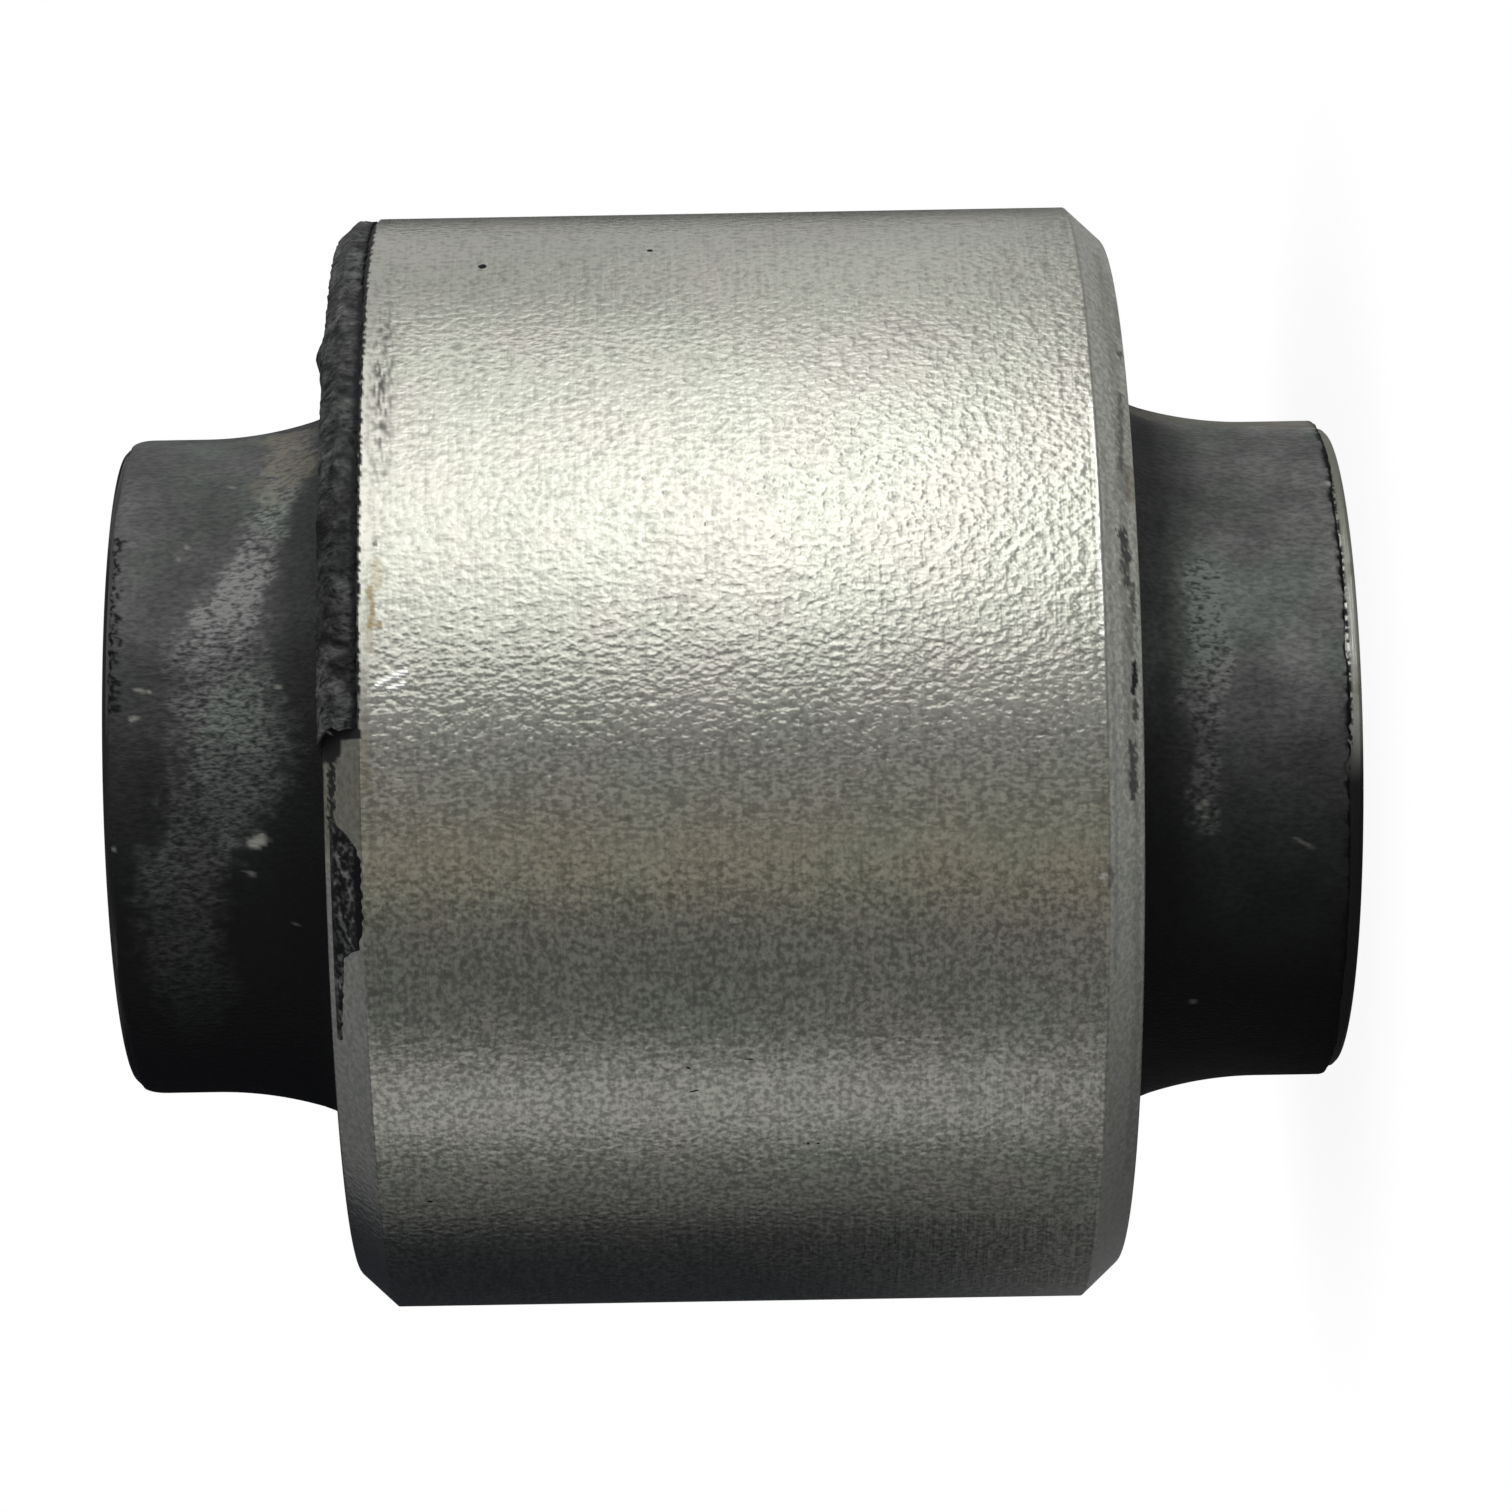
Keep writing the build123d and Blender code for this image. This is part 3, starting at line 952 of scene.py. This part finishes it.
rubber = Finish("moulded_rubber")
spot = rubber.spot()
clouds = rubber.grain(spot, (1, 1, 1), 1.5, 3.0, 0.6)
tints = rubber.grain(spot, (1, 1, 1), 4.0, 1.0, 0.5)
flakes = rubber.grain(spot, (1, 1, 0.5), FLAKE_SIZE, 1.0, 0.6)
dust_and_shading = rubber.painted("dust_and_shading")
wrinkles = rubber.painted("wrinkles")
scatter = flakes.rise(0.22, 0.78)
thick = dust_and_shading * (clouds * 1.2 + 0.4) * (1 + (scatter - 0.5) * (0.2 + wrinkles * 1.3))
skin = rubber.blend(thick, CLEAN_RUBBER, rubber.blend(tints.rise(0.4, 0.6), *DUST_GREYS))
skin = rubber.blend(rubber.painted("tan") * (0.3 + scatter * 0.7), skin, TAN_TINT)
skin = rubber.blend(rubber.painted("grit"), skin, GRIT_GREY)
rubber.feed(
    Base_Color=skin,
    Roughness=0.55 + clouds * 0.1,
    Specular_IOR_Level=0.22,
    Normal=rubber.bumps(flakes * (0.3 + wrinkles * 0.9), FLAKE_DEPTH),
)
rubber_body.data.materials.append(rubber.material)
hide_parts("rubber_body")
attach(rubber_body, "root")

# ---------------------------------------------------------------------------------------------
# Floor: a wide sheet of pale card. The white backdrop stands behind the bush, and the card fades
# into it, so that only the shadow of the bush shows.
# ---------------------------------------------------------------------------------------------

FLOOR_HALF = 1500
FLOOR_CORNERS = [(-1.0, -1.0, 0.0), (1.0, -1.0, 0.0), (1.0, 1.0, 0.0), (-1.0, 1.0, 0.0)]
FLOOR_FADE = 0.93
FADE_START = 14
FADE_STOP = 30
CARD_GREYS = ((0.78, 0.78, 0.78, 1), (0.82, 0.82, 0.82, 1))
WHITE = (1, 1, 1, 1)

floor = solid("floor", [(MM * FLOOR_HALF * np.array(FLOOR_CORNERS), [[0, 1, 2, 3]])])


def backdrop_seen(finish, behind):
    """1 where the backdrop shows: to the camera, and in metal or glass where it is behind the bush."""
    camera_ray, glossy_ray, transmission_ray = (
        finish.node("ShaderNodeLightPath", {}, {}, f"Is {kind} Ray")
        for kind in ("Camera", "Glossy", "Transmission")
    )
    return camera_ray | ((glossy_ray | transmission_ray) * behind)


card = Finish("floor_card")
spot = card.spot()
sideways = card.axis(spot, "X")
backwards = card.axis(spot, "Y")
behind = backwards.rise(150, 300) * (abs(sideways) / backwards).rise(0.16, 0.08)
fade = FLOOR_FADE + card.radius(spot).rise(FADE_START, FADE_STOP) * (1 - FLOOR_FADE)
speckle = card.grain(spot, (1, 1, 1), 0.6)
card.feed(Base_Color=card.blend(speckle, *CARD_GREYS), Roughness=0.9)
glow = card.node("ShaderNodeEmission", {}, {"Color": WHITE, "Strength": 1.0}, "Emission")
shader = Wire(card, card.tree.nodes["Principled BSDF"].outputs[0])
faded = card.node("ShaderNodeMixShader", {}, {0: backdrop_seen(card, behind) * fade, 1: shader, 2: glow})
card.tree.links.new(faded.socket, card.tree.nodes["Material Output"].inputs["Surface"])
floor.data.materials.append(card.material)

# ---------------------------------------------------------------------------------------------
# Lamps: soft boxes that stand on the floor round the bush, so that each lights a band along it,
# and a square one overhead. The dim room fills the shadows, and its far wall is the backdrop.
# ---------------------------------------------------------------------------------------------

LAMP_DISTANCE = 140
LAMP_LIFT = 1
TALL = 200
LOW = 25
TOP_SIZE = 360
TOP_GLOW = 0.16
TOP_PLACE = (-60, 60, 260)
ROOM = (0.018, 0.02, 0.026, 1)


def lamp(name, start, stop, height, glow):
    """A soft box that stands on the floor between two turns, and whose face glows this much."""
    middle = radians((start + stop) / 2)
    light = bpy.data.lights.new(name, "AREA")
    light.shape = "RECTANGLE"
    light.size = 2 * LAMP_DISTANCE * tan(radians(stop - start) / 2) * MM
    light.size_y = height * MM
    light.energy = glow * pi * light.size * light.size_y
    out = Vector((sin(middle), -cos(middle), 0))
    up = Vector((0, 0, 1))
    centre = out * LAMP_DISTANCE + up * (height / 2 + LAMP_LIFT)
    facing_bush = Matrix((up.cross(out), up, out)).transposed().to_4x4()
    made = bpy.data.objects.new(name, light)
    made.matrix_world = Matrix.Translation(centre * MM) @ facing_bush
    made.visible_camera = False
    bpy.context.scene.collection.objects.link(made)


lamp("key_box", 15, 95, TALL, 1.04)
lamp("key_core", 35, 65, TALL, 0.46)
lamp("key_foot", 25, 75, LOW, 0.66)
lamp("wide_foot", 15, 125, LOW, 0.24)
lamp("back_box", 95, 145, TALL, 0.5)
lamp("fill_box", -105, 5, TALL, 0.145)
lamp("front_strip", -25, 15, TALL, 0.165)
lamp("low_strip", -79, -59, TALL, 0.37)

top_light = bpy.data.lights.new("top_box", "AREA")
top_light.shape = "SQUARE"
top_light.size = TOP_SIZE * MM
top_light.energy = TOP_GLOW * pi * top_light.size**2
top_box = bpy.data.objects.new("top_box", top_light)
top_box.location = [MM * away for away in TOP_PLACE]
top_box.visible_camera = False
bpy.context.scene.collection.objects.link(top_box)

world = bpy.data.worlds.new("studio")
bpy.context.scene.world = world
world.use_nodes = True
backdrop = Finish("backdrop", world.node_tree)
heading = backdrop.node("ShaderNodeTexCoord", {}, {}, "Generated")
far_wall = backdrop.axis(heading, "Y").rise(0.985, 0.995)
studio = backdrop.blend(backdrop_seen(backdrop, far_wall), ROOM, WHITE)
world.node_tree.links.new(studio.socket, world.node_tree.nodes["Background"].inputs["Color"])

# ---------------------------------------------------------------------------------------------
# Camera: a long lens, level with the bush and looking at its side. It is rolled by a quarter turn,
# so that +X is up and the lip's end is left, and its frame is shifted a little along the bush.
# ---------------------------------------------------------------------------------------------

LENS = 129.5
CAMERA_DISTANCE = 226.1
AIM_REACH = 2.6
YAW = 0.00629
ROLL = 0.01679
SHIFT_X = 0.0582
SHIFT_Y = 0.0015
CLIP_START = 0.01

camera_data = bpy.data.cameras.new("camera")
camera_data.lens = LENS
camera_data.shift_x = SHIFT_X
camera_data.shift_y = SHIFT_Y
camera_data.clip_start = CLIP_START
camera = bpy.data.objects.new("camera", camera_data)
back = Vector((0, -cos(YAW), -sin(YAW)))
along = Vector((0, sin(YAW), -cos(YAW)))
down = Vector((-1, 0, 0))
right = along * cos(ROLL) + down * sin(ROLL)
up = back.cross(right)
camera.matrix_world = Matrix.Translation(
    Vector((0, 0, (MIDDLE + AIM_REACH) * MM)) + back * CAMERA_DISTANCE * MM
) @ Matrix((right, up, back)).transposed().to_4x4()
bpy.context.scene.collection.objects.link(camera)
bpy.context.scene.camera = camera

bpy.context.scene.view_settings.view_transform = "Standard"
